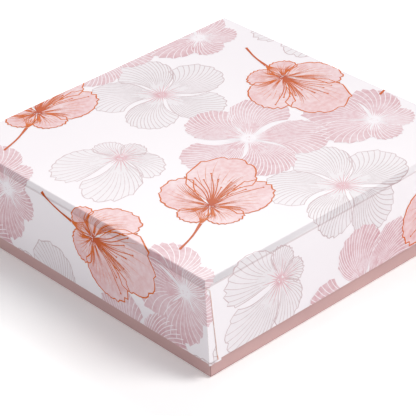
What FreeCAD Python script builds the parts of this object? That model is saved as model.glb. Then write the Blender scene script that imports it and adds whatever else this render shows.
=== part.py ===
import FreeCAD, Part
import os
import Sketcher

# A two-piece paper-covered gift box for flowers, in millimetres. The lid telescopes down over the base and
# rests on its rim. Both halves are trays: a scored greyboard blank folded up into four walls, held at the
# corners by strips of paper tape, covered with paper that turns in over the rim, and lined inside.
# The origin is at the middle of the underside, with +Z up and the walls square to X and Y.

document = FreeCAD.newDocument("flower_box")

# Driving dimensions.
dimensions = {
    "box_side": "200",            # outside of the lid, along X and along Y
    "box_height": "60",           # closed box, underside to lid top
    "lid_depth": "48",            # outside depth of the lid, which leaves a band of the base in view
    "board_thickness": "2",
    "paper_thickness": "0.25",    # covering paper with its glue
    "liner_thickness": "0.3",     # lining card inside, and the sheet under the base
    "lid_clearance": "1",         # air between base and lid on each side
    "lid_bevel": "2",             # the open score along each folded edge, a narrow 45 degree flat
    "base_bevel": "0.8",
    "corner_slit": "0.15",        # hairline where two folded walls meet
    "tape_leg": "12",             # corner tape, measured round each side of the corner
    "tape_thickness": "0.15",
    "tape_end_gap": "1",          # from the end of the bevel to the end of the tape
    "turn_in_flange": "8",        # covering paper glued down on the inside of the panel
    "underside_turn": "12",       # covering paper of the base glued down under its panel
    "lining_margin": "5",         # from the inner wall to the edge of the lining card
    "underside_margin": "2",      # from the edge of the base to the edge of the sheet under it
    "glue_gap": "0.1",            # round the raised middle of a card that lies over a glued flange
}
sheet = document.addObject("Spreadsheet::Sheet", "Dimensions")
for row, (alias, value) in enumerate(dimensions.items(), start=1):
    sheet.set(f"A{row}", alias)
    sheet.set(f"B{row}", value)
    sheet.setAlias(f"B{row}", alias)
document.recompute()


def size(formula):
    """Turn a formula of alias names, with spaces between its words, into one that reads the sheet."""
    return " ".join(f"Dimensions.{word}" if word in dimensions else word for word in formula.split())


# Formulas that several pieces share.
lid_wall = "( board_thickness + 2 * paper_thickness )"
base_side = f"( box_side - 2 * {lid_wall} - 2 * lid_clearance )"
base_depth = f"( box_height - {lid_wall} - liner_thickness )"

# Each tray is built mouth up with its panel on Z = 0. The base is then lifted onto the sheet under it, and
# the lid is turned over about X, so the corners come in a different order.
trays = {
    "base": {
        "side": base_side,
        "depth": base_depth,
        "bevel": "base_bevel",
        "height": "liner_thickness",
        "turn": FreeCAD.Rotation(FreeCAD.Vector(1, 0, 0), 0),
        "corners": ("back_right", "back_left", "front_left", "front_right"),
    },
    "lid": {
        "side": "box_side",
        "depth": "lid_depth",
        "bevel": "lid_bevel",
        "height": "box_height",
        "turn": FreeCAD.Rotation(FreeCAD.Vector(1, 0, 0), 180),
        "corners": ("front_right", "front_left", "back_left", "back_right"),
    },
}


def rectangle(body, name, width, length, centre=("0", "0"), lift="0"):
    """Sketch a rectangle on the body's own XY plane, with its size and place bound to the sheet."""
    sketch = body.newObject("Sketcher::SketchObject", name)
    plane = next(feature for feature in body.Origin.OriginFeatures if feature.Role == "XY_Plane")
    sketch.AttachmentSupport = (plane, [""])
    sketch.MapMode = "FlatFace"
    for axis, formula in zip("xyz", (*centre, lift)):
        sketch.setExpression(f"AttachmentOffset.Base.{axis}", size(formula))
    corners = [FreeCAD.Vector(x, y, 0) for x, y in ((-1, -1), (1, -1), (1, 1), (-1, 1))]
    for start, end in zip(corners, corners[1:] + corners[:1]):
        sketch.addGeometry(Part.LineSegment(start, end))
    for line, direction in enumerate(("Horizontal", "Vertical", "Horizontal", "Vertical")):
        sketch.addConstraint(Sketcher.Constraint("Coincident", line, 2, (line + 1) % 4, 1))
        sketch.addConstraint(Sketcher.Constraint(direction, line))
    sketch.addConstraint(Sketcher.Constraint("Symmetric", 0, 1, 1, 2, -1, 1))
    for direction, line, formula in (("DistanceX", 0, width), ("DistanceY", 1, length)):
        span = 2.0
        index = sketch.addConstraint(Sketcher.Constraint(direction, line, 1, line, 2, span))
        sketch.setExpression(f"Constraints[{index}]", size(formula))
    return sketch


def pad(body, name, side, height):
    """Raise a square of the given side from Z = 0."""
    feature = body.newObject("PartDesign::Pad", name)
    feature.Profile = rectangle(body, f"{name}_outline", side, side)
    feature.setExpression("Length", size(height))
    document.recompute()
    return feature


def pocket(body, name, sketch, depth):
    """Cut upwards from the sketch, and make sure that the cut removes board."""
    whole = body.Shape.Volume
    feature = body.newObject("PartDesign::Pocket", name)
    feature.Profile = sketch
    feature.Reversed = True
    feature.setExpression("Length", size(depth))
    document.recompute()
    if not body.Shape.Volume < whole:
        raise RuntimeError(f"{name} cuts nothing")
    return feature


def bevelled_block(name, side, height, bevel):
    """A square block with a 45 degree flat along its four bottom edges."""
    body = document.addObject("PartDesign::Body", name)
    block = pad(body, f"{name}_block", side, height)
    bottom = [
        f"Edge{number}"
        for number, edge in enumerate(block.Shape.Edges, start=1)
        if edge.BoundBox.ZMax < block.Shape.BoundBox.Center.z
    ]
    flat = body.newObject("PartDesign::Chamfer", f"{name}_bevel")
    flat.Base = (block, bottom)
    flat.setExpression("Size", size(bevel))
    document.recompute()
    return body


def box(name, side, low, high):
    """A square box about the Z axis, between two heights."""
    block = document.addObject("Part::Box", name)
    block.setExpression("Length", size(side))
    block.setExpression("Width", size(side))
    block.setExpression("Height", size(f"{high} - {low}"))
    block.setExpression("Placement.Base.x", size(f"0 - {side} / 2"))
    block.setExpression("Placement.Base.y", size(f"0 - {side} / 2"))
    block.setExpression("Placement.Base.z", size(low))
    return block


def cut(name, base, tool):
    difference = document.addObject("Part::Cut", name)
    difference.Base = base
    difference.Tool = tool
    return difference


def settle(piece, tray, turn=FreeCAD.Rotation()):
    """Put a finished piece of a tray where it belongs in the closed box."""
    piece.Placement = FreeCAD.Placement(FreeCAD.Vector(), tray["turn"] * turn)
    piece.setExpression("Placement.Base.z", size(tray["height"]))


# The pieces.
def folded_board(half, tray):
    """The greyboard blank, folded: a panel and four walls that meet the panel only at the scores."""
    side = f"( {tray['side']} - 2 * paper_thickness )"
    height = f"( {tray['depth']} - 2 * paper_thickness )"
    inner = f"( {side} - 2 * board_thickness )"
    body = bevelled_block(f"{half}_blank", side, height, tray["bevel"])
    wall_height = f"{height} - board_thickness"
    inside = rectangle(body, f"{half}_inside_outline", inner, inner, lift="board_thickness")
    pocket(body, f"{half}_inside", inside, wall_height)
    for number, (along, across) in enumerate(((1, 1), (-1, 1), (-1, -1), (1, -1))):
        centre = (
            f"{along} * ( {inner} / 2 - corner_slit / 2 )",
            f"{across} * ( {inner} / 2 + board_thickness / 2 )",
        )
        name = f"{half}_slit_{number}"
        slit = rectangle(body, f"{name}_outline", "corner_slit", "board_thickness", centre, "board_thickness")
        pocket(body, name, slit, wall_height)
    body.Placement = FreeCAD.Placement(FreeCAD.Vector(), tray["turn"])
    body.setExpression(
        "Placement.Base.z",
        size(f"{tray['height']} {'-' if half == 'lid' else '+'} paper_thickness"),
    )
    return body


def corner_tape(half, tray, number, corner):
    """One strip of tape, pressed flush into the outside of the board along an upright corner."""
    side = f"( {tray['side']} - 2 * paper_thickness )"
    low = f"( paper_thickness + {tray['bevel']} + tape_end_gap )"
    high = f"( {tray['depth']} - paper_thickness )"
    name = f"{half}_corner_tape_{corner}"
    blocks = []
    for part, leg in (("round", "tape_leg"), ("within", "tape_leg - tape_thickness")):
        block = document.addObject("Part::Box", f"{name}_{part}")
        block.setExpression("Length", size(leg))
        block.setExpression("Width", size(leg))
        block.setExpression("Height", size(f"{high} - {low}"))
        block.setExpression("Placement.Base.x", size(f"{side} / 2 - tape_leg"))
        block.setExpression("Placement.Base.y", size(f"{side} / 2 - tape_leg"))
        block.setExpression("Placement.Base.z", size(low))
        blocks.append(block)
    tape = cut(name, *blocks)
    quarter = 90
    settle(tape, tray, FreeCAD.Rotation(FreeCAD.Vector(0, 0, 1), quarter * number))
    return tape


def taped_board(half, tray, tapes):
    """The board with a shallow seat for each strip of tape."""
    seats = document.addObject("Part::Compound", f"{half}_tape_seats")
    seats.Links = tapes
    return cut(f"{half}_board", folded_board(half, tray), seats)


def covering_paper(half, tray):
    """Covering paper over the outside, over the rim, down the inner walls and a little way onto the panel.

    On the lid it is one sheet that covers the panel. On the base it is a strip that turns under the panel.
    """
    side, depth = tray["side"], tray["depth"]
    inner_board = f"( {side} - 2 * paper_thickness - 2 * board_thickness )"
    panel_top = "( paper_thickness + board_thickness )"
    over_the_bevel = f"{tray['bevel']} + paper_thickness * ( 2 - sqrt( 2 ) )"
    outside = bevelled_block(f"{half}_paper_outside", side, depth, over_the_bevel)
    covered = bevelled_block(
        f"{half}_covered_block",
        f"( {side} - 2 * paper_thickness )",
        f"( {depth} - 2 * paper_thickness )",
        tray["bevel"],
    )
    covered.setExpression("Placement.Base.z", size("paper_thickness"))
    hollow = box(f"{half}_board_hollow", inner_board, panel_top, depth)
    covered_board = cut(f"{half}_covered_board", covered, hollow)
    within_walls = box(
        f"{half}_within_walls",
        f"( {inner_board} - 2 * paper_thickness )",
        f"( {panel_top} + paper_thickness )",
        depth,
    )
    within_flange = box(
        f"{half}_within_flange",
        f"( {inner_board} - 2 * turn_in_flange )",
        panel_top,
        depth,
    )
    paper = cut(f"{half}_paper_hollowed", outside, covered_board)
    paper = cut(f"{half}_paper_walled", paper, within_walls)
    if half == "base":
        paper = cut("base_paper_flanged", paper, within_flange)
        opening = box("base_underside_opening", f"( {side} - 2 * underside_turn )", "0", "paper_thickness")
        paper = cut("base_wrap", paper, opening)
    else:
        paper = cut("lid_wrap", paper, within_flange)
    settle(paper, tray)
    return paper


def stepped_card(name, side, raised_side):
    """A card whose middle is pressed down past a glued flange of covering paper to the board."""
    body = document.addObject("PartDesign::Body", name)
    pad(body, f"{name}_face", side, "liner_thickness")
    pad(body, f"{name}_middle", raised_side, "liner_thickness + paper_thickness")
    return body


def lining_card(half, tray):
    """The card that lines the panel inside and covers the edge of the turned-in paper."""
    inner = f"( {tray['side']} - 2 * {lid_wall} )"
    flange_opening = f"( {tray['side']} - 2 * ( paper_thickness + board_thickness + turn_in_flange ) )"
    card = stepped_card(
        f"{half}_liner",
        f"( {inner} - 2 * lining_margin )",
        f"( {flange_opening} - 2 * glue_gap )",
    )
    face_up = FreeCAD.Rotation(FreeCAD.Vector(1, 0, 0), 180)
    card.Placement = FreeCAD.Placement(FreeCAD.Vector(), tray["turn"] * face_up)
    face = f"( {lid_wall} + liner_thickness )"
    card.setExpression("Placement.Base.z", size(f"{tray['height']} {'-' if half == 'lid' else '+'} {face}"))
    return card


def underside_sheet():
    """The sheet pasted under the base, over the edge of the turned-under paper. It is what stands down."""
    return stepped_card(
        "base_bottom_sheet",
        f"( {base_side} - 2 * underside_margin - 2 * base_bevel )",
        f"( {base_side} - 2 * underside_turn - 2 * glue_gap )",
    )


pieces = []
for half, tray in trays.items():
    tapes = [corner_tape(half, tray, number, corner) for number, corner in enumerate(tray["corners"])]
    pieces += [taped_board(half, tray, tapes), *tapes, covering_paper(half, tray), lining_card(half, tray)]
pieces.append(underside_sheet())
document.recompute()

# Nothing is written unless every object and every piece is sound.
for item in document.Objects:
    if "Invalid" in item.State or "Error" in item.State:
        raise RuntimeError(f"{item.Name} failed: {item.State}")
os.makedirs("parts", exist_ok=True)
for piece in pieces:
    piece.Label = piece.Name
    shape = piece.Shape
    if shape.isNull() or not shape.isValid() or len(shape.Solids) != 1:
        raise RuntimeError(f"{piece.Label} is not one sound solid")
    shape.exportStep(f"parts/{piece.Label}.step")
    extent = shape.BoundBox
    print(f"{piece.Label:34s} {shape.Volume:10.1f} mm3  z {extent.ZMin:6.2f} to {extent.ZMax:6.2f}")
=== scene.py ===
import math
import bpy
import numpy as np
from mathutils import Matrix, Vector


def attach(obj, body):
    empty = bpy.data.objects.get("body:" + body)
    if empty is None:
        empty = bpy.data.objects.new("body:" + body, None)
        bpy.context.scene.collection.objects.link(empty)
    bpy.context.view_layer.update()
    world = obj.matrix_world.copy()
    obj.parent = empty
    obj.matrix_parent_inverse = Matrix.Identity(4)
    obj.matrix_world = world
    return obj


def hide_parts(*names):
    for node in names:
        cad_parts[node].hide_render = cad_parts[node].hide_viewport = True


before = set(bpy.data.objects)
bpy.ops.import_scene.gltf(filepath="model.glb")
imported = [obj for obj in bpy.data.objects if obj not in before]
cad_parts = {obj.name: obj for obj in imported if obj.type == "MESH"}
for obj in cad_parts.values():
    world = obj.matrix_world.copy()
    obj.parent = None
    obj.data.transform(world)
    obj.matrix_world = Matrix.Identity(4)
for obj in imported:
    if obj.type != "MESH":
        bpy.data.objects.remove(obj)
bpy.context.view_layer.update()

mm = 0.001
print("frame loaded:", len(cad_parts), "CAD nodes")


# drawing helpers: flat meshes and curves in millimetres

def smoothLine(points, count=24):
    # a smooth line through a few points, evenly stepped between them
    points = np.array(points, float)
    if len(points) == 2:
        share = np.linspace(0, 1, count)[:, None]
        return points[0] * (1 - share) + points[1] * share
    padded = np.vstack([2 * points[0] - points[1], points, 2 * points[-1] - points[-2]])
    spans = len(points) - 1
    place = np.linspace(0, spans, count)
    span = np.minimum(place.astype(int), spans - 1)
    t = (place - span)[:, None]
    a, b, c, d = (padded[span + k] for k in range(4))
    return 0.5 * (2 * b + (c - a) * t + (2 * a - 5 * b + 4 * c - d) * t**2 + (3 * b - a - 3 * c + d) * t**3)


sliver = 1e-7        # twice the area of the smallest triangle kept, in square millimetres
strokeLevels = 24    # strokes take turns at this many heights
dotSides = 8


class Drawing:
    # triangles in the plane; each corner carries a tone, and a small lift so that strokes never share a plane

    def __init__(self):
        self.triangles = []

    def grid(self, rows, tone=0.5):
        # rows of points, all as long as each other, filled as a grid of quads
        rows = np.array(rows, float)
        layer = np.full(rows.shape[:2], len(self.triangles), float)
        tone = np.broadcast_to(np.array(tone, float), rows.shape[:2])
        corners = np.dstack([rows, layer, tone])
        a, b, c, d = corners[:-1, :-1], corners[1:, :-1], corners[1:, 1:], corners[:-1, 1:]
        both = np.concatenate([np.stack([corner.reshape(-1, 4) for corner in triple], axis=1)
                               for triple in ((a, b, c), (a, c, d))])
        turn = turnOf(both)
        self.triangles.append(both[turn * np.sign(turn.sum()) > sliver])   # no part folded back on itself

    def stroke(self, line, widths, tone=0.5):
        # a pen line whose width runs smoothly through the widths given
        line = np.array(line, float)
        along = np.gradient(line, axis=0)
        along /= np.maximum(np.linalg.norm(along, axis=1), 1e-9)[:, None]
        across = np.stack([-along[:, 1], along[:, 0]], axis=1)
        share = np.linspace(0, 1, len(line))
        width = np.interp(share, np.linspace(0, 1, len(widths)), widths)[:, None] / 2
        tones = np.interp(share, np.linspace(0, 1, np.size(tone)), np.atleast_1d(tone))
        self.grid([line - across * width, line + across * width], [tones, tones])

    def dot(self, centre, radius, tone=0.5):
        turn = np.linspace(0, 2 * math.pi, dotSides + 1)
        ring = np.array(centre) + radius * np.stack([np.cos(turn), np.sin(turn)], axis=1)
        self.grid([np.repeat([centre], dotSides + 1, axis=0), ring], tone)

    def place(self, other, at, turn):
        # lay another drawing on this one
        cosine, sine = math.cos(math.radians(turn)), math.sin(math.radians(turn))
        spin = np.array([(cosine, sine), (-sine, cosine)])
        for triangles in other.triangles:
            moved = triangles.copy()
            moved[..., :2] = moved[..., :2] @ spin + np.array(at)
            moved[..., 2] = len(self.triangles)
            self.triangles.append(moved)

    def soup(self, thickness=0.012):
        soup = np.concatenate(self.triangles)
        levels = min(len(self.triangles), strokeLevels)
        soup[..., 2] = soup[..., 2] % levels * (thickness / levels)
        turn = turnOf(soup)
        soup[turn < 0] = soup[turn < 0][:, ::-1]
        return soup


def turnOf(soup):
    # twice the area of each triangle, negative where its corners run clockwise
    a, b, c = (soup[:, k, :2] for k in range(3))
    return (b - a)[:, 0] * (c - a)[:, 1] - (b - a)[:, 1] * (c - a)[:, 0]


def soupMesh(name, soup):
    # a welded mesh, in metres, from loose triangles whose fourth value is a tone
    points = soup.reshape(-1, 4)
    place = points[:, :3] * mm
    key = np.round(place / 1e-8).astype(np.int64)
    _, first, index = np.unique(key, axis=0, return_index=True, return_inverse=True)
    index = index.reshape(-1, 3)
    keep = (index[:, 0] != index[:, 1]) & (index[:, 1] != index[:, 2]) & (index[:, 0] != index[:, 2])
    mesh = bpy.data.meshes.new(name)
    mesh.from_pydata(place[first].tolist(), [], index[keep].tolist())
    tone = mesh.attributes.new("tone", "FLOAT", "POINT")
    tone.data.foreach_set("value", points[first, 3].astype(np.float32))
    return mesh


def meshSoup(mesh):
    # loose triangles in millimetres, with their tones, from a mesh
    place = np.empty(len(mesh.vertices) * 3, np.float32)
    mesh.vertices.foreach_get("co", place)
    tone = np.empty(len(mesh.vertices), np.float32)
    mesh.attributes["tone"].data.foreach_get("value", tone)
    corners = np.empty(len(mesh.loops), np.int32)
    mesh.loops.foreach_get("vertex_index", corners)
    points = np.column_stack([place.reshape(-1, 3).astype(float) / mm, tone])
    return points[corners.reshape(-1, 3)]


# folding a flat sheet over a tray

def clipSoup(soup, normal, limit):
    # the part of each triangle with normal . point <= limit
    side = soup[..., :2] @ np.array(normal, float) - limit
    inside = side <= 1e-9
    count = inside.sum(axis=1)
    kept = [soup[count == 3]]
    for wanted in (1, 2):
        some, value, flag = soup[count == wanted], side[count == wanted], inside[count == wanted]
        if not len(some):
            continue
        lone = np.argmax(flag if wanted == 1 else ~flag, axis=1)
        order = (lone[:, None] + np.arange(3)) % 3
        pick = np.arange(len(some))[:, None]
        some, value = some[pick, order], value[pick, order]
        a, b, c = some[:, 0], some[:, 1], some[:, 2]
        va, vb, vc = (value[:, k, None] for k in range(3))
        ab = a + (b - a) * (va / (va - vb))
        ac = a + (c - a) * (va / (va - vc))
        if wanted == 1:
            kept.append(np.stack([a, ab, ac], axis=1))
        else:
            kept += [np.stack([ab, b, c], axis=1), np.stack([ab, c, ac], axis=1)]
    return np.concatenate(kept)


def sliceSoup(soup, normal, limits):
    # the triangles between each two limits, one batch for each band
    normal = np.array(normal, float)
    for low, high in zip(limits[:-1], limits[1:]):
        reach = soup[..., :2] @ normal
        near = soup[(reach.min(axis=1) < high) & (reach.max(axis=1) > low)]
        if len(near):
            near = clipSoup(clipSoup(near, normal, high), -normal, -low)
        yield near


arcSteps = 4    # straight bits in each rounded corner


def roundedPath(corners):
    # a path through corners given as (x, y) or (x, y, radius), with an arc at each radius
    path = []
    for number, corner in enumerate(corners):
        here = np.array(corner[:2], float)
        if len(corner) == 2:
            path.append(here)
            continue
        back = np.array(corners[number - 1][:2]) - here
        ahead = np.array(corners[number + 1][:2]) - here
        back, ahead = back / np.linalg.norm(back), ahead / np.linalg.norm(ahead)
        half = math.acos(np.clip(back @ ahead, -1, 1)) / 2
        setback = corner[2] / math.tan(half)
        middle = (back + ahead) / np.linalg.norm(back + ahead)
        centre = here + middle * corner[2] / math.sin(half)
        start, end = here + back * setback - centre, here + ahead * setback - centre
        sweep = math.pi - 2 * half
        for step in range(arcSteps + 1):
            share = step / arcSteps
            weight = (math.sin((1 - share) * sweep), math.sin(share * sweep))
            path.append(centre + (start * weight[0] + end * weight[1]) / math.sin(sweep))
    return np.array(path)


def pathNormals(path):
    # outward normals: to the left of a path that runs out over the panel and down the wall
    along = np.diff(path, axis=0)
    along /= np.linalg.norm(along, axis=1)[:, None]
    left = np.stack([-along[:, 1], along[:, 0]], axis=1)
    both = np.vstack([left[:1], left[:-1] + left[1:], left[-1:]])
    return both / np.linalg.norm(both, axis=1)[:, None]


def foldSoup(soup, tray, lift):
    # carry flat triangles onto the folded tray, raised off the paper by lift
    top = soup
    for normal in ((1, 0), (-1, 0), (0, 1), (0, -1)):
        top = clipSoup(top, normal, tray["panelHalf"])
    level = tray["panelHeight"] + lift + top[..., 2]
    batches = [np.dstack([top[..., :2], level, top[..., 3:]])]
    for flap in tray["flaps"]:
        batches += foldFlap(soup, flap, lift)
    folded = np.concatenate([batch for batch in batches if len(batch)])
    if tray["facing"] < 0:
        folded[..., 2] *= -1
        folded = folded[:, ::-1]
    return folded


def foldFlap(soup, flap, lift):
    outwards = np.array((math.cos(flap["turn"]), math.sin(flap["turn"])))
    sideways = np.array((-outwards[1], outwards[0]))
    profile, normals = flap["profile"], pathNormals(flap["profile"])
    flat = flatStations(profile) + flap.get("shift", 0)
    plan, planNormals = flap["plan"], pathNormals(flap["plan"])
    planFlat = flatStations(plan)
    steps = np.unique(np.concatenate([-planFlat, planFlat]))
    batches = []
    for band, piece in enumerate(sliceSoup(soup, outwards, flat)):
        for sign, sides in ((1, flap["high"]), (-1, flap["low"])):
            slope = (sides[band + 1] - sides[band]) / (flat[band + 1] - flat[band])
            base = sides[band] - slope * flat[band]
            if len(piece):
                piece = clipSoup(piece, sign * (sideways - slope * outwards), sign * base)
        for part in sliceSoup(piece, sideways, steps) if len(piece) else ():
            if not len(part):
                continue
            d, a = part[..., :2] @ outwards, part[..., :2] @ sideways
            out, level = (np.interp(d, flat, profile[:, k]) for k in range(2))
            normalOut, normalUp = (np.interp(d, flat, normals[:, k]) for k in range(2))
            along, back = (np.interp(np.abs(a), planFlat, plan[:, k]) for k in range(2))
            normalAlong, normalBack = (np.interp(np.abs(a), planFlat, planNormals[:, k]) for k in range(2))
            raised = lift + part[..., 2]
            out = out + back + raised * normalOut * normalBack
            along = np.sign(a) * (along + raised * normalOut * normalAlong)
            place = out[..., None] * outwards + along[..., None] * sideways
            batches.append(np.dstack([place, level + raised * normalUp, part[..., 3:]]))
    return batches


def flatStations(path):
    # how far along the flat sheet each point of a path lies
    return path[0, 0] + np.concatenate([[0], np.cumsum(np.linalg.norm(np.diff(path, axis=0), axis=1))])


edgeSlack = 1e-6   # how near the wall's plane counts as on it
wallStart = 0.3    # how far under the bevel the cut edge of a wall may begin
cutGap = 0.12      # from a wall's cut edge to the corner, where the two are closest
earRun = 40        # more than an ear ever reaches round its corner
earEase = 1.2      # paper used by the bend at the corner, in corner radii


def makeTray(settings):
    # the folding rules of a square tray: a panel, its bevelled edges, walls, rim and turned-in flanges
    wall, panel, bevel = settings["wall"], settings["panel"], settings["bevel"]
    inner, rim, floor = settings["innerWall"], settings["rim"], settings["floor"]
    soft, tight = settings["bevelRadius"], settings["rimRadius"]
    corners = [(wall - bevel - 2 * soft, panel), (wall - bevel, panel, soft), (wall, panel - bevel, soft),
               (wall, panel - bevel - settings["seamSlant"]), (wall, rim, tight), (inner, rim, tight),
               (inner, floor, tight), (inner - settings["flange"], floor)]
    profile = roundedPath(corners)
    isWall = (profile[:, 0] > wall - edgeSlack) & (profile[:, 1] <= panel - bevel - wallStart)
    firstWall = np.argmax(isWall)
    lastWall = len(isWall) - 1 - np.argmax(isWall[::-1])
    corner = wall - tight
    top, foot = profile[firstWall, 1], profile[lastWall, 1]
    inset = np.where(profile[:, 1] > top - settings["seamSlant"],
                     (top - profile[:, 1]) / settings["seamSlant"] * settings["seamTop"],
                     np.interp(-profile[:, 1], (-top + settings["seamSlant"], -foot),
                               (settings["seamTop"], settings["seamFoot"])))
    number = np.arange(len(profile))
    onWall = (number >= firstWall) & (number <= lastWall)
    mitre = np.minimum(profile[:, 0], wall)
    underEar = wall - settings["earDepth"]   # the ears lie under the other two walls
    flaps = []
    for quarter in range(4):
        wraps = quarter % 2 == 0             # the two walls whose paper runs on round the corners
        turn = quarter * math.pi / 2
        if wraps:
            plan = roundedPath([(0, 0), (underEar, 0, tight), (underEar, -earRun)])
        else:
            plan = np.array([(0, 0), (wall + 1, 0)])
        edge = np.where(onWall, corner if wraps else wall - cutGap - inset, mitre)
        flaps.append({"turn": turn, "profile": profile, "plan": plan, "high": edge, "low": -edge})
        if not wraps:
            continue
        hang = np.vstack([profile[firstWall:lastWall], (wall, foot), (wall, rim - settings["earDroop"])])
        past = np.concatenate([inset[firstWall:lastWall], [settings["seamFoot"]] * 2])
        shift = flatStations(profile)[firstWall] - wall
        for side in (-1, 1):
            far = corner + earEase * tight + past + settings["earHidden"]
            near = np.full(len(hang), corner)
            flaps.append({"turn": turn, "profile": hang, "plan": plan, "shift": shift,
                          "high": far if side > 0 else -near, "low": near if side > 0 else -far})
    return {"panelHalf": profile[0, 0], "panelHeight": panel, "facing": settings["facing"], "flaps": flaps,
            "onWall": onWall}


# materials

def shadeOf(red, green, blue):
    # a colour as a paint swatch gives it, 0 to 255, turned into light by the usual display curve
    light = [((c / 255 + 0.055) / 1.055) ** 2.4 if c > 10 else c / 3294.6 for c in (red, green, blue)]
    return (*light, 1)


def newMaterial(name, roughness, specular=0.5):
    material = bpy.data.materials.new(name)
    material.use_nodes = True
    nodes = material.node_tree.nodes
    shader = nodes["Principled BSDF"]
    shader.inputs["Roughness"].default_value = roughness
    shader.inputs["Specular IOR Level"].default_value = specular
    return material, nodes, material.node_tree.links, shader


def mixColours(nodes, links, kind, amount, first, second):
    # a Mix node in colour mode: every input is a value or another node's output
    mix = nodes.new("ShaderNodeMix")
    mix.data_type = "RGBA"
    mix.blend_type = kind
    for number, source in ((0, amount), (6, first), (7, second)):
        if isinstance(source, bpy.types.NodeSocket):
            links.new(source, mix.inputs[number])
        else:
            mix.inputs[number].default_value = source
    return mix.outputs[2]


def scaleValue(nodes, links, source, fromLow, fromHigh, toLow=0.0, toHigh=1.0):
    node = nodes.new("ShaderNodeMapRange")
    links.new(source, node.inputs["Value"])
    for key, value in (("From Min", fromLow), ("From Max", fromHigh), ("To Min", toLow), ("To Max", toHigh)):
        node.inputs[key].default_value = value
    return node.outputs["Result"]


def noiseAt(nodes, links, scale, detail=4.0, stretch=(1, 1, 1)):
    where = nodes.new("ShaderNodeTexCoord")
    place = nodes.new("ShaderNodeMapping")
    place.inputs["Scale"].default_value = stretch
    noise = nodes.new("ShaderNodeTexNoise")
    noise.inputs["Scale"].default_value = scale
    noise.inputs["Detail"].default_value = detail
    links.new(where.outputs["Object"], place.inputs["Vector"])
    links.new(place.outputs["Vector"], noise.inputs["Vector"])
    return noise.outputs["Fac"]


def foldShade(nodes, links, colour, crease, dark):
    # painted shade: the colour is darkened in a thin band around the height of the scored crease under the
    # bevel, where the fold would gather shadow
    where = nodes.new("ShaderNodeTexCoord")
    split = nodes.new("ShaderNodeSeparateXYZ")
    links.new(where.outputs["Object"], split.inputs["Vector"])
    away, distance = nodes.new("ShaderNodeMath"), nodes.new("ShaderNodeMath")
    away.operation, distance.operation = "SUBTRACT", "ABSOLUTE"
    links.new(split.outputs["Z"], away.inputs[0])
    away.inputs[1].default_value = crease
    links.new(away.outputs[0], distance.inputs[0])
    strength = scaleValue(nodes, links, distance.outputs[0], 0.1 * mm, 0.8 * mm, dark, 0)
    return mixColours(nodes, links, "MULTIPLY", strength, colour, shadeOf(196, 172, 172))


def satinBump(nodes, links, shader, fine=900, depth=0.000004, strength=0.25):
    # the slight tooth of coated paper, over the gentle unevenness of the glued board
    tooth = None
    for scale, height, amount in ((fine / 6, depth * 6, 0.3), (fine, depth, strength)):
        bump = nodes.new("ShaderNodeBump")
        bump.inputs["Distance"].default_value = height
        bump.inputs["Strength"].default_value = amount
        links.new(noiseAt(nodes, links, scale, 3.0), bump.inputs["Height"])
        if tooth:
            links.new(tooth, bump.inputs["Normal"])
        tooth = bump.outputs["Normal"]
    links.new(tooth, shader.inputs["Normal"])


# the crease height and the strength of the painted shade band under the bevel
satin = {"roughness": 0.3, "specular": 0.24, "depth": 0.9, "crease": 57.1 * mm, "creaseShade": 0.5,
         "mottleScale": 45, "wetInk": (242, 234, 238)}


def inkOf(colour):
    return tuple(value * satin["depth"] for value in shadeOf(*colour)[:3]) + (1,)


def printedMaterial(name, low, high, mottle=0.06, specular=None):
    # ink on satin paper: the tone of the drawing runs from low to high, with a watery mottle
    material, nodes, links, shader = newMaterial(name, satin["roughness"], specular or satin["specular"])
    tone = nodes.new("ShaderNodeAttribute")
    tone.attribute_name = "tone"
    colour = mixColours(nodes, links, "MIX", tone.outputs["Fac"], low, high)
    for scale in (satin["mottleScale"], satin["mottleScale"] * 9):
        wet = scaleValue(nodes, links, noiseAt(nodes, links, scale), 0.35, 0.7, 0, mottle)
        colour = mixColours(nodes, links, "MIX", wet, colour, inkOf(satin["wetInk"]))
    # painted shade: a darker band along the crease under the bevel
    colour = foldShade(nodes, links, colour, satin["crease"], satin["creaseShade"])
    links.new(colour, shader.inputs["Base Color"])
    satinBump(nodes, links, shader)
    return material


# the camera, lights and table

cameraSettings = {"place": (-649.6, -735.2, 630.4), "azimuth": 41.10, "elevation": 32.12, "roll": -3.01,
                  "lens": 183.35, "sensor": 36}


def makeCamera(settings):
    azimuth, elevation, roll = (math.radians(settings[key]) for key in ("azimuth", "elevation", "roll"))
    forward = Vector((math.sin(azimuth) * math.cos(elevation), math.cos(azimuth) * math.cos(elevation),
                      -math.sin(elevation)))
    right = forward.cross(Vector((0, 0, 1))).normalized()
    up = right.cross(forward)
    right, up = right * math.cos(roll) + up * math.sin(roll), up * math.cos(roll) - right * math.sin(roll)
    data = bpy.data.cameras.new("camera")
    data.lens = settings["lens"]
    data.sensor_width = data.sensor_height = settings["sensor"]
    camera = bpy.data.objects.new("camera", data)
    bpy.context.collection.objects.link(camera)
    turn = Matrix((right, up, -forward)).transposed()
    camera.matrix_world = Matrix.Translation(Vector(settings["place"]) * mm) @ turn.to_4x4()
    bpy.context.scene.camera = camera


lightSettings = {
    "horizon": 0.87, "zenith": 0.22, "skyColour": (0.965, 0.968, 1.0),
    "key": {"from": (0.31, -0.60, 0.74), "strength": 1.75, "spread": 26, "colour": (1.0, 0.985, 0.965)},
    "glare": {"azimuth": 41, "elevation": 39, "distance": 1.6, "size": (0.8, 0.2), "watts": 11,
              "colour": (1.0, 0.99, 0.98)},
}


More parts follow.
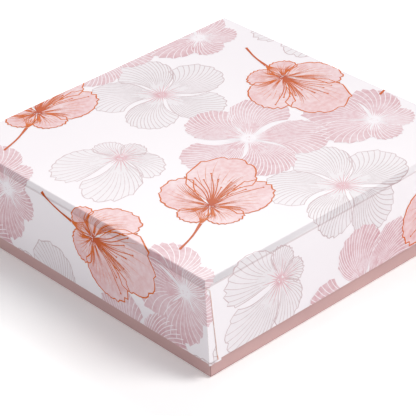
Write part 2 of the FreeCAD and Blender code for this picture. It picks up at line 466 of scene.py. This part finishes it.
def makeLights(settings):
    world = bpy.data.worlds.new("studio")
    bpy.context.scene.world = world
    world.use_nodes = True
    world.node_tree.nodes["Background"].inputs["Color"].default_value = (*settings["skyColour"], 1)
    nodes, links = world.node_tree.nodes, world.node_tree.links
    where, split = nodes.new("ShaderNodeTexCoord"), nodes.new("ShaderNodeSeparateXYZ")
    links.new(where.outputs["Generated"], split.inputs[0])
    links.new(scaleValue(nodes, links, split.outputs["Z"], 0, 1, settings["horizon"], settings["zenith"]),
              nodes["Background"].inputs["Strength"])
    key = bpy.data.lights.new("key", "SUN")
    key.energy, key.angle = settings["key"]["strength"], math.radians(settings["key"]["spread"])
    key.color = settings["key"]["colour"]
    lamp = bpy.data.objects.new("key", key)
    lamp.rotation_mode = "QUATERNION"
    lamp.rotation_quaternion = Vector(settings["key"]["from"]).to_track_quat("Z", "Y")
    bpy.context.collection.objects.link(lamp)
    glare = bpy.data.lights.new("backSoftbox", "AREA")
    glare.shape = "RECTANGLE"
    glare.size, glare.size_y = settings["glare"]["size"]
    glare.energy, glare.color = settings["glare"]["watts"], settings["glare"]["colour"]
    azimuth, elevation = (math.radians(settings["glare"][key]) for key in ("azimuth", "elevation"))
    towards = Vector((math.sin(azimuth) * math.cos(elevation), math.cos(azimuth) * math.cos(elevation),
                      math.sin(elevation)))
    box = bpy.data.objects.new("backSoftbox", glare)
    box.location = towards * settings["glare"]["distance"] + Vector((0, 0, 60 * mm))
    box.rotation_mode = "QUATERNION"
    box.rotation_quaternion = towards.to_track_quat("Z", "Y")
    bpy.context.collection.objects.link(box)
    bpy.context.scene.view_settings.view_transform = "Standard"


floorSettings = {"half": 4.0, "colour": (255, 255, 255), "roughness": 0.7, "glow": 0.18, "level": -0.0001}


def makeFloor(settings):
    half = settings["half"]
    mesh = bpy.data.meshes.new("table_top")
    corners = [(x * half, y * half, settings["level"]) for x, y in ((-1, -1), (1, -1), (1, 1), (-1, 1))]
    mesh.from_pydata(corners, [], [(0, 1, 2, 3)])
    floor = bpy.data.objects.new("table_top", mesh)
    bpy.context.collection.objects.link(floor)
    material, nodes, links, shader = newMaterial("pale table", settings["roughness"], 0.2)
    cloudy = scaleValue(nodes, links, noiseAt(nodes, links, 3), 0.3, 0.7, 0, 0.03)
    links.new(mixColours(nodes, links, "MIX", cloudy, shadeOf(*settings["colour"]), shadeOf(255, 255, 255)),
              shader.inputs["Base Color"])
    shader.inputs["Emission Color"].default_value = (1, 1, 1, 1)
    shader.inputs["Emission Strength"].default_value = settings["glow"]
    mesh.materials.append(material)


makeCamera(cameraSettings)
makeLights(lightSettings)
makeFloor(floorSettings)
print("camera, lights and table made")


# the papers, in millimetres: out from the middle of the box, and up from the surface that it stands on
# the base is folded upside down, so its heights are below zero

lidFold = {"wall": 99.87, "panel": 59.87, "bevel": 2.07, "bevelRadius": 1.2, "rimRadius": 0.25, "rim": 12.13,
           "innerWall": 97.63, "floor": 57.63, "flange": 8, "facing": 1, "seamSlant": 3.0, "seamTop": 3.2,
           "seamFoot": 5.4, "earDepth": 0.1, "earDroop": 1.3, "earHidden": 2.5, "thickness": 0.09}
baseFold = {"wall": 96.48, "panel": -0.32, "bevel": 0.8, "bevelRadius": 0.4, "rimRadius": 0.25, "rim": -57.48,
            "innerWall": 94.02, "floor": -2.78, "flange": 8, "facing": -1, "seamSlant": 1.0, "seamTop": 1.2,
            "seamFoot": 1.5, "earDepth": 0.1, "earDroop": 0.0, "earHidden": 2.5, "thickness": 0.09,
            "ring": 84}


def foldedSheet(name, fold, tray):
    # the whole sheet as one welded surface: the panel, its four flaps and the ears round the corners
    half, level, ring = tray["panelHalf"], tray["panelHeight"], fold.get("ring")
    places, faces, index = [], [], {}

    def strip(turn, rows):
        # rows run outwards and down, their points sideways, each given as (out, along, height)
        cosine, sine = round(math.cos(turn)), round(math.sin(turn))
        numbers = []
        for row in rows:
            numbers.append([])
            for out, along, height in row:
                place = (out * cosine - along * sine, out * sine + along * cosine, height * tray["facing"])
                key = tuple(round(value, 5) for value in place)
                if key not in index:
                    index[key] = len(places)
                    places.append([value * mm for value in place])
                numbers[-1].append(index[key])
        for near, far in zip(numbers[:-1], numbers[1:]):
            for k in range(len(near) - 1):
                face = [near[k], far[k], far[k + 1], near[k + 1]]
                faces.append(face[::tray["facing"]])

    if not ring:
        strip(0, [[(-half, -half, level), (-half, half, level)], [(half, -half, level), (half, half, level)]])
    for flap in tray["flaps"]:
        plan, profile = flap["plan"], flap["profile"]
        if "shift" not in flap:
            bend = plan[1][0] if len(plan) > 2 else None      # where the paper begins to turn the corner
            width = [bend if bend and wall else edge for edge, wall in zip(flap["high"], tray["onWall"])]
            rows = [[(out, -w, height), (out, w, height)] for (out, height), w in zip(profile, width)]
            if ring:
                rows.insert(0, [(ring, -ring, level), (ring, ring, level)])
            strip(flap["turn"], rows)
            continue
        side = 1 if flap["high"][0] > 0 else -1
        planFlat = flatStations(plan)
        rows = []
        for (out, height), far in zip(profile, np.maximum(np.abs(flap["high"]), np.abs(flap["low"]))):
            stations = [*planFlat[1:-1], far]
            back, along = (np.interp(stations, planFlat, plan[:, k]) for k in (1, 0))
            row = [(out + b, side * a, height) for b, a in zip(back, along)]
            rows.append(row[::side])
        strip(flap["turn"], rows)
    mesh = bpy.data.meshes.new(name)
    mesh.from_pydata(places, [], faces)
    return mesh


def paperPiece(name, fold, material, body, node):
    # one flat sheet folded over the tray, then given its thickness on the inside
    tray = makeTray(fold)
    mesh = foldedSheet(name, fold, tray)
    piece = bpy.data.objects.new(name, mesh)
    bpy.context.collection.objects.link(piece)
    finish = piece.modifiers.new("paper", "SOLIDIFY")
    finish.thickness, finish.offset = fold["thickness"] * mm, -1
    for polygon in mesh.polygons:
        polygon.use_smooth = True
    smooth = piece.modifiers.new("flat faces stay flat", "WEIGHTED_NORMAL")
    smooth.keep_sharp = False
    mesh.materials.append(material)
    bakeDown(piece)
    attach(piece, body)
    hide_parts(node)
    return piece, tray


def bakeDown(piece):
    # turn the evaluated object into a plain mesh with no modifiers
    plain = bpy.data.meshes.new_from_object(piece.evaluated_get(bpy.context.evaluated_depsgraph_get()))
    old = piece.data
    piece.modifiers.clear()
    piece.data = plain
    name = old.name
    bpy.data.meshes.remove(old)
    plain.name = name


whiteSettings = {"base": (238, 232, 236), "pale": (241, 236, 239), "cloudScale": 12}
roseSettings = {"base": (186, 151, 149), "pale": (193, 158, 155), "speck": (190, 150, 148), "roughness": 0.55,
                "specular": 0.4, "cloudScale": 20, "speckScale": 1500}


def whitePaper(settings):
    material, nodes, links, shader = newMaterial("white satin paper", satin["roughness"], satin["specular"])
    cloud = scaleValue(nodes, links, noiseAt(nodes, links, settings["cloudScale"], 5.0), 0.3, 0.7, 0, 1)
    colour = mixColours(nodes, links, "MIX", cloud, inkOf(settings["base"]), inkOf(settings["pale"]))
    # painted shade: a darker band along the crease under the bevel
    colour = foldShade(nodes, links, colour, satin["crease"], satin["creaseShade"])
    links.new(colour, shader.inputs["Base Color"])
    satinBump(nodes, links, shader)
    return material


def rosePaper(settings):
    material, nodes, links, shader = newMaterial("dusty rose paper", settings["roughness"], settings["specular"])
    cloud = scaleValue(nodes, links, noiseAt(nodes, links, settings["cloudScale"], 5.0), 0.3, 0.7, 0, 1)
    colour = mixColours(nodes, links, "MIX", cloud, shadeOf(*settings["base"]), shadeOf(*settings["pale"]))
    noise = noiseAt(nodes, links, settings["speckScale"], 2.0)
    speck = scaleValue(nodes, links, noise, 0.62, 0.72, 0, 0.12)
    colour = mixColours(nodes, links, "MIX", speck, colour, shadeOf(*settings["speck"]))
    links.new(colour, shader.inputs["Base Color"])
    satinBump(nodes, links, shader, 1200, 0.00001, 0.4)
    return material


lidPaper = paperPiece("lid_paper", lidFold, whitePaper(whiteSettings), "lid", "lid_wrap")[0]
basePaper, baseTray = paperPiece("base_paper", baseFold, rosePaper(roseSettings), "base", "base_wrap")
print("lid and base papers folded:", len(lidPaper.data.polygons), len(basePaper.data.polygons), "faces")

# the print: plain five-petalled flowers made from a few numbers, with the throat at zero, in millimetres
petalSettings = {
    "count": 5, "rows": 14, "columns": 28, "throat": 0.03,
    "waist": 0.66,                      # the share of its spread that a petal already has at the throat
    "round": 0.34, "roundPower": 2.4,   # how far the rim falls back at its sides, and how late
    "waves": 6, "ruffle": 0.6, "ruffleWaves": 11, "rufflePower": 6,
    "uneven": (5, 0.08, 0.08),          # turn in degrees, share of the width, share of the length
}


def petalsOf(flower):
    # size is the reach; facing runs from 0, seen from the front, towards 1, turned away
    # the rows of each petal run from the throat out
    use = petalSettings
    s = np.linspace(use["throat"], 1, use["rows"])[:, None]
    t = np.linspace(-1, 1, use["columns"])[None, :]
    random = np.random.default_rng(flower["seed"])
    patches = []
    for number in range(use["count"]):
        turned, wider, longer = random.uniform(-1, 1, 3) * use["uneven"]
        spread = flower["spread"] * (1 + wider) * (use["waist"] + (1 - use["waist"]) * s)
        swirl = flower["swirl"] * np.sin(math.pi * s)
        angle = np.radians(flower["first"] + 360 / use["count"] * number + turned + spread * t + swirl)
        ruffle = use["ruffle"] * np.sin(math.pi * use["ruffleWaves"] * t + number)
        wave = np.sin(math.pi * (use["waves"] + number) * t) + ruffle
        rim = flower["size"] * (1 + longer) * (1 - use["round"] * np.abs(t)**use["roundPower"])
        reach = rim + flower["ripple"] * wave * s**use["rufflePower"]
        radius = s * reach * (1 - flower["facing"]**2) / (1 - flower["facing"] * np.cos(angle))
        patches.append(np.dstack([radius * np.cos(angle), radius * np.sin(angle)]))
    return patches


veinPoints = 11


def vein(patch, share, start, end):
    # a line up a petal, at a share of its width
    rows, columns = patch.shape[:2]
    across = share * (columns - 1)
    low = min(int(across), columns - 2)
    line = patch[:, low] * (1 - across + low) + patch[:, low + 1] * (across - low)
    along = np.linspace(start, end, veinPoints) * (rows - 1)
    base = np.minimum(along.astype(int), rows - 2)
    part = (along - base)[:, None]
    return line[base] * (1 - part) + line[base + 1] * part


def veins(drawing, patch, count, widths, tone, start, end, ragged=0.12, seed=3):
    # evenly spread over a petal, with ragged ends
    random = np.random.default_rng(seed)
    for share in (np.arange(count) + 0.5) / count:
        low, high = start + random.uniform(0, ragged), end - random.uniform(0, ragged) * (end < 1)
        drawing.stroke(vein(patch, share, low, high), widths, tone)


def outline(drawing, patch, rimWidths, sideWidth, tone):
    # the rim, and both sides from a quarter of the way up
    drawing.stroke(patch[-1], rimWidths, tone)
    for share in (0, 1):
        drawing.stroke(vein(patch, share, 0.25, 1), [sideWidth * 0.4, sideWidth, sideWidth], tone)


def fan(drawing, count, reach, widths, tone, seed):
    # short strokes out of the throat, all the way round
    random = np.random.default_rng(seed)
    for turn in np.linspace(0, 360, count, endpoint=False):
        near, far = random.uniform(0.3, 2.5), random.uniform(*reach)
        direction = np.array((math.cos(math.radians(turn)), math.sin(math.radians(turn))))
        drawing.stroke([direction * near, direction * (near + far) / 2, direction * far], widths, tone)


stemSettings = {
    "start": -17, "end": -42, "droop": 3, "widths": [1.5, 1.1, 1.2, 1.9], "tone": 0.7,
    "cup": -6, "cupHalf": 7, "cupVeins": 8, "cupWidths": [0.7, 0.45, 0.3], "cupTone": 0.45,
}


def drawStem(settings, petals, lines):
    # a stalk and the small cup it ends in, drawn in the same ink
    share = np.linspace(0, 1, 10)
    cup = np.stack([settings["start"] + (settings["cup"] - settings["start"]) * share,
                    0.5 + settings["cupHalf"] * share**1.5], axis=1)
    patch = np.stack([cup, cup * (1, -1)], axis=1)
    petals.grid(patch, 0.0)
    veins(lines, patch, settings["cupVeins"], settings["cupWidths"], settings["cupTone"], 0.0, 0.97)
    middle = (settings["start"] + settings["end"]) / 2
    bends = [(settings["end"], settings["droop"]), (middle, settings["droop"] * 0.2), (settings["start"], 0)]
    lines.stroke(smoothLine(bends), settings["widths"], settings["tone"])


inkedSettings = {
    "veins": {"widths": [0.1, 0.28, 0.16, 0.05], "tone": 0.3, "start": 0.3, "end": 0.93, "ragged": 0.25},
    "shade": {"shares": (0.04, 0.2, 6), "start": (0.1, 0.25), "end": (0.6, 0.95),
              "widths": [0.15, 0.36, 0.38, 0.12], "tone": 0.55, "spread": 0.3},
    "fold": {"shares": (0.42, 0.56, 4), "start": 0.1, "end": (0.35, 0.65), "widths": [0.42, 0.32, 0.08],
             "tone": 0.6},
    "edge": {"rimWidths": [0.6, 0.9, 0.6, 0.95, 0.6], "sideWidth": 0.7, "tone": 0.45},
    "throat": {"count": 20, "reach": (5, 12), "widths": [0.6, 0.55, 0.1], "tone": [0.95, 0.5], "seed": 8},
}
stamenSettings = {"count": 11, "arc": (-42, 42), "reach": (17, 33), "bend": (0.55, 0.4), "points": 12,
                  "widths": [0.7, 0.6, 0.5], "tone": [0.9, 0.6, 0.5], "headRadius": 0.6, "headTone": 0.6}


def drawStamens(settings, lines, random):
    for turn in np.linspace(*settings["arc"], settings["count"]):
        reach = random.uniform(*settings["reach"])
        tip = np.array((math.cos(math.radians(turn)), math.sin(math.radians(turn)))) * reach
        stalk = smoothLine([(0, 0), tip * settings["bend"], tip], settings["points"])
        lines.stroke(stalk, settings["widths"], settings["tone"])
        lines.dot(tip, settings["headRadius"], settings["headTone"])


def drawInked(flower, petals, lines):
    # a tinted flower with inked outlines, shaded along one side of each petal
    patches = petalsOf(flower)
    drawStem(stemSettings, petals, lines)
    for patch in patches:
        petals.grid(patch, np.linspace(0, 1, len(patch))[:, None])
    random = np.random.default_rng(flower["seed"] + 1)
    shade, fold = inkedSettings["shade"], inkedSettings["fold"]
    for number, patch in enumerate(patches):
        veins(lines, patch, flower["veins"], **inkedSettings["veins"], seed=number)
        for share in np.linspace(*shade["shares"]):
            start, end = random.uniform(*shade["start"]), random.uniform(*shade["end"])
            tone = shade["tone"] + random.uniform(-shade["spread"], shade["spread"])
            lines.stroke(vein(patch, share, start, end), shade["widths"], tone)
        for share in np.linspace(*fold["shares"]):
            lines.stroke(vein(patch, share, fold["start"], random.uniform(*fold["end"])), fold["widths"],
                         fold["tone"])
        outline(lines, patch, **inkedSettings["edge"])
    fan(lines, **inkedSettings["throat"])
    drawStamens(stamenSettings, lines, random)


paleSettings = {"start": 0.22, "end": 1.0, "ragged": 0.2, "heartRadius": 1.1,
                "throat": {"reach": (6, 15), "widths": [0.6, 0.55, 0.08]}}


def drawPale(flower, wash, lines):
    # a flat tinted flower with fine veins, outlined where the flower has an edge
    use, width, edge = paleSettings, flower["width"], flower["edge"]
    for number, patch in enumerate(petalsOf(flower)):
        wash.grid(patch, np.linspace(0, 1, len(patch))[:, None])
        veins(lines, patch, flower["veins"], [width * 0.5, width * 0.8, width], flower["tone"], use["start"],
              use["end"], use["ragged"], number)
        if edge:
            outline(lines, patch, [edge, edge * 1.3, edge], edge, flower["tone"])
    fan(lines, flower["streaks"], **use["throat"], tone=flower["streakTone"], seed=flower["seed"])
    lines.dot((0, 0), use["heartRadius"], flower["streakTone"])


# each kind of flower: its shape, then how it is drawn and the two inks it goes in, the tint and the lines
flowers = {
    "inked": {
        "size": 32, "facing": 0.42, "first": 10, "spread": 41, "swirl": 5, "ripple": 0.6, "seed": 2,
        "veins": 10, "draw": drawInked, "inks": ("orangePetals", "orangeLines")},
    "pinkOpen": {
        "size": 40, "facing": 0.0, "first": 30, "spread": 36, "swirl": 10, "ripple": 0.6, "seed": 4,
        "veins": 19, "width": 0.5, "tone": 0.5, "edge": 0, "streaks": 40, "streakTone": 1.0,
        "draw": drawPale, "inks": ("pinkWashes", "pinkVeins")},
    "pinkTurned": {
        "size": 31, "facing": 0.35, "first": 0, "spread": 40, "swirl": -8, "ripple": 0.8, "seed": 6,
        "veins": 11, "width": 0.5, "tone": 0.5, "edge": 0, "streaks": 36, "streakTone": 1.0,
        "draw": drawPale, "inks": ("pinkWashes", "pinkVeins")},
    "greyOpen": {
        "size": 39, "facing": 0.0, "first": 0, "spread": 36, "swirl": -10, "ripple": 0.6, "seed": 7,
        "veins": 17, "width": 0.42, "tone": 0.2, "edge": 0.45, "streaks": 26, "streakTone": 0.9,
        "draw": drawPale, "inks": ("greyWashes", "greyLines")},
    "greyTurned": {
        "size": 31, "facing": 0.45, "first": 20, "spread": 38, "swirl": 6, "ripple": 0.7, "seed": 9,
        "veins": 13, "width": 0.36, "tone": 0.25, "edge": 0.5, "streaks": 24, "streakTone": 0.9,
        "draw": drawPale, "inks": ("greyWashes", "greyLines")},
}

# six flowers on an even lattice, 60 mm across and 70 mm up, that then repeats
# each is a kind, a place and a turn
repeatSettings = {
    "stepAcross": (180, 35), "stepUp": (0, 140), "columns": 5, "rows": 7,
    "flowers": [("greyOpen", (10, 55), 0), ("greyTurned", (-50, 20), 200), ("pinkOpen", (10, -15), 0),
                ("pinkTurned", (70, -50), 110), ("inked", (-50, -50), 30), ("inked", (70, 20), -100)],
}


def drawRepeat(settings):
    sheet = {}
    for kind, at, turn in settings["flowers"]:
        parts = (Drawing(), Drawing())
        flowers[kind]["draw"](flowers[kind], *parts)
        for ink, part in zip(flowers[kind]["inks"], parts):
            sheet.setdefault(ink, Drawing()).place(part, at, turn)
    return sheet


def repeatTree():
    # a sheet of repeats: a grid of points, sheared onto the two steps, with the drawing at each
    tree = bpy.data.node_groups.new("sheet of repeats", "GeometryNodeTree")
    face = tree.interface
    for name, kind in (("Geometry", "NodeSocketGeometry"), ("Drawing", "NodeSocketObject"),
                       ("Step Across", "NodeSocketVector"), ("Step Up", "NodeSocketVector"),
                       ("Columns", "NodeSocketInt"), ("Rows", "NodeSocketInt"),
                       ("Ink", "NodeSocketMaterial")):
        face.new_socket(name, in_out="INPUT", socket_type=kind)
    face.new_socket("Geometry", in_out="OUTPUT", socket_type="NodeSocketGeometry")
    nodes, links = tree.nodes, tree.links
    entry, leave = nodes.new("NodeGroupInput"), nodes.new("NodeGroupOutput")
    grid = nodes.new("GeometryNodeMeshGrid")
    for axis, count in (("X", "Columns"), ("Y", "Rows")):
        less = nodes.new("ShaderNodeMath")
        less.operation = "SUBTRACT"
        less.inputs[1].default_value = 1
        links.new(entry.outputs[count], less.inputs[0])
        links.new(entry.outputs[count], grid.inputs["Vertices " + axis])
        links.new(less.outputs[0], grid.inputs["Size " + axis])
    spot = nodes.new("GeometryNodeInputPosition")
    split = nodes.new("ShaderNodeSeparateXYZ")
    links.new(spot.outputs[0], split.inputs[0])
    steps = []
    for axis, step in (("X", "Step Across"), ("Y", "Step Up")):
        scale = nodes.new("ShaderNodeVectorMath")
        scale.operation = "SCALE"
        links.new(entry.outputs[step], scale.inputs[0])
        links.new(split.outputs[axis], scale.inputs["Scale"])
        steps.append(scale.outputs[0])
    both = nodes.new("ShaderNodeVectorMath")
    both.operation = "ADD"
    for number, step in enumerate(steps):
        links.new(step, both.inputs[number])
    move = nodes.new("GeometryNodeSetPosition")
    links.new(grid.outputs["Mesh"], move.inputs["Geometry"])
    links.new(both.outputs[0], move.inputs["Position"])
    source = nodes.new("GeometryNodeObjectInfo")
    links.new(entry.outputs["Drawing"], source.inputs["Object"])
    copies = nodes.new("GeometryNodeInstanceOnPoints")
    links.new(move.outputs[0], copies.inputs["Points"])
    links.new(source.outputs["Geometry"], copies.inputs["Instance"])
    real = nodes.new("GeometryNodeRealizeInstances")
    links.new(copies.outputs[0], real.inputs[0])
    ink = nodes.new("GeometryNodeSetMaterial")
    links.new(real.outputs[0], ink.inputs["Geometry"])
    links.new(entry.outputs["Ink"], ink.inputs["Material"])
    links.new(ink.outputs[0], leave.inputs[0])
    return tree


def repeatSheet(drawing, tree, settings, ink):
    # the drawing repeated over the flat sheet, as loose triangles
    source = bpy.data.objects.new("one repeat", soupMesh("one repeat", drawing.soup()))
    holder = bpy.data.objects.new("sheet", bpy.data.meshes.new("sheet"))
    bpy.context.collection.objects.link(holder)
    repeat = holder.modifiers.new("sheet of repeats", "NODES")
    repeat.node_group = tree
    sockets = {item.name: item.identifier for item in tree.interface.items_tree if item.in_out == "INPUT"}
    values = {"Drawing": source, "Step Across": [*(v * mm for v in settings["stepAcross"]), 0],
              "Step Up": [*(v * mm for v in settings["stepUp"]), 0], "Columns": settings["columns"],
              "Rows": settings["rows"], "Ink": ink}
    for name, value in values.items():
        repeat[sockets[name]] = value
    plain = bpy.data.meshes.new_from_object(holder.evaluated_get(bpy.context.evaluated_depsgraph_get()))
    soup = meshSoup(plain)
    bpy.data.meshes.remove(plain)
    for used in (holder, source):
        mesh = used.data
        bpy.data.objects.remove(used)
        bpy.data.meshes.remove(mesh)
    return soup


# each ink lies a hundredth or two of a millimetre over the one before
printLayers = {
    "print_grey_washes": {
        "from": "greyWashes", "lift": 0.006, "low": (222, 216, 219), "high": (229, 224, 227), "mottle": 0.3},
    "print_grey_lines": {
        "from": "greyLines", "lift": 0.022, "low": (186, 170, 172), "high": (214, 152, 162), "mottle": 0.25},
    "print_pink_washes": {
        "from": "pinkWashes", "lift": 0.042, "low": (214, 168, 176), "high": (205, 154, 162), "mottle": 0.35},
    "print_pink_veins": {
        "from": "pinkVeins", "lift": 0.058, "low": (236, 222, 227), "high": (242, 236, 240), "mottle": 0.2},
    "print_orange_petals": {
        "from": "orangePetals", "lift": 0.074, "low": (217, 155, 151), "high": (223, 173, 174),
        "mottle": 0.4},
    "print_orange_lines": {
        "from": "orangeLines", "lift": 0.090, "low": (238, 124, 10), "high": (182, 62, 0), "mottle": 0.02,
        "specular": 0.08},
}


def printPiece(name, layer, drawing, tree):
    ink = printedMaterial(name.replace("_", " "), inkOf(layer["low"]), inkOf(layer["high"]), layer["mottle"],
                          layer.get("specular"))
    soup = repeatSheet(drawing, tree, repeatSettings, ink)
    mesh = soupMesh(name, foldSoup(soup, printTray, layer["lift"]))
    mesh.materials.append(ink)
    piece = bpy.data.objects.new(name, mesh)
    bpy.context.collection.objects.link(piece)
    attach(piece, "lid")
    print(name, len(mesh.polygons), "triangles")


# dark strips along the seams: the paper's cut edge, darkened further as painted shadow of the step there
edgeShadowSettings = {
    "lid_paper_edges": {"fold": lidFold, "dark": (196, 120, 84), "pale": (222, 196, 186), "body": "lid",
                        "slot": "floral_paper", "lift": 0.105, "width": 0.3},
    "base_paper_edges": {"fold": baseFold, "dark": (120, 84, 84), "pale": (150, 108, 106), "body": "base",
                         "slot": "rose_paper", "lift": 0.01, "width": 0.25},
}
footSlack = 0.2   # the edge is drawn down to just above the rim


def cutEdgeShadowPiece(name, settings, tray):
    # a thin dark strip along the raw cut edge of the paper where two of its walls end, just short of each
    # corner: partly the colour of the cut edge, partly painted shadow of the small step at the seam
    fold, width, body, slot = (settings[key] for key in ("fold", "width", "body", "slot"))
    edges = Drawing()
    for flap in tray["flaps"]:
        if abs(math.cos(flap["turn"])) > 0.5:
            continue
        flat = flatStations(flap["profile"])
        out, height = flap["profile"].T
        wall = (out > fold["wall"] - edgeSlack) & (height > fold["rim"] + footSlack)
        outwards = np.array((math.cos(flap["turn"]), math.sin(flap["turn"])))
        sideways = np.array((-outwards[1], outwards[0]))
        for side in (-1, 1):
            path = [outwards * d + sideways * side * (a - width * 0.5)
                    for d, a in zip(flat[wall], flap["high"][wall])]
            for start, end in zip(path[:-1], path[1:]):
                edges.stroke([start, end], [width, width])
    mesh = soupMesh(name, foldSoup(edges.soup(0.0), tray, settings["lift"]))
    material, nodes, links, shader = newMaterial(name.replace("_", " "), 0.7, 0.2)
    # the strip's colour: cut edge plus painted shadow, varied a little along its length
    worn = scaleValue(nodes, links, noiseAt(nodes, links, 260, 3.0), 0.35, 0.65, 0, 1)
    mixed = mixColours(nodes, links, "MIX", worn, shadeOf(*settings["dark"]), shadeOf(*settings["pale"]))
    links.new(mixed, shader.inputs["Base Color"])
    mesh.materials.append(material)
    piece = bpy.data.objects.new(name, mesh)
    bpy.context.collection.objects.link(piece)
    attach(piece, body)


printTray = makeTray({**lidFold, "earHidden": 0.0})
for name, tray in (("lid_paper_edges", printTray), ("base_paper_edges", baseTray)):
    cutEdgeShadowPiece(name, edgeShadowSettings[name], tray)
sheetTree = repeatTree()
drawings = drawRepeat(repeatSettings)
for name, layer in printLayers.items():
    printPiece(name, layer, drawings[layer["from"]], sheetTree)
print("print laid on the lid paper")

# the CAD pieces that stay: board, tape and lining

boardSettings = {"base": (150, 146, 140), "fleck": (112, 106, 100), "pale": (178, 174, 166),
                 "roughness": 0.85}
tapeSettings = {"base": (196, 160, 118), "fibre": (170, 132, 92), "roughness": 0.6}
liningSettings = {"base": (240, 236, 234), "fibre": (226, 220, 218), "roughness": 0.7}
underSettings = {"base": (190, 155, 152), "fibre": (182, 147, 145), "roughness": 0.6}


def greyboard(settings):
    # recycled board: cloudy grey pulp with dark and pale flecks
    material, nodes, links, shader = newMaterial("greyboard", settings["roughness"], 0.2)
    cloud = scaleValue(nodes, links, noiseAt(nodes, links, 60, 6.0), 0.3, 0.7, 0, 0.6)
    colour = mixColours(nodes, links, "MIX", cloud, shadeOf(*settings["base"]), shadeOf(*settings["pale"]))
    fleck = scaleValue(nodes, links, noiseAt(nodes, links, 1400, 2.0), 0.64, 0.72, 0, 0.7)
    colour = mixColours(nodes, links, "MIX", fleck, colour, shadeOf(*settings["fleck"]))
    links.new(colour, shader.inputs["Base Color"])
    satinBump(nodes, links, shader, 700, 0.00002, 0.5)
    return material


def fibrePaper(name, settings, stretch):
    # plain paper with fibres drawn out along one way
    material, nodes, links, shader = newMaterial(name, settings["roughness"], 0.3)
    fibre = scaleValue(nodes, links, noiseAt(nodes, links, 400, 5.0, stretch), 0.4, 0.7, 0, 1)
    colour = mixColours(nodes, links, "MIX", fibre, shadeOf(*settings["base"]), shadeOf(*settings["fibre"]))
    links.new(colour, shader.inputs["Base Color"])
    satinBump(nodes, links, shader, 1000, 0.00001, 0.4)
    return material


def dressNodes():
    board = greyboard(boardSettings)
    tape = fibrePaper("kraft tape", tapeSettings, (1, 1, 0.15))
    lining = fibrePaper("lining card", liningSettings, (0.3, 1, 1))
    under = fibrePaper("underside paper", underSettings, (1, 0.3, 1))
    finishes = {"board": board, "tape": tape, "liner": lining}
    for name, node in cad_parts.items():
        finish = next((made for word, made in finishes.items() if word in name), under)
        node.data.materials.clear()
        node.data.materials.append(finish)


dressNodes()
print("board, tape and lining finished")
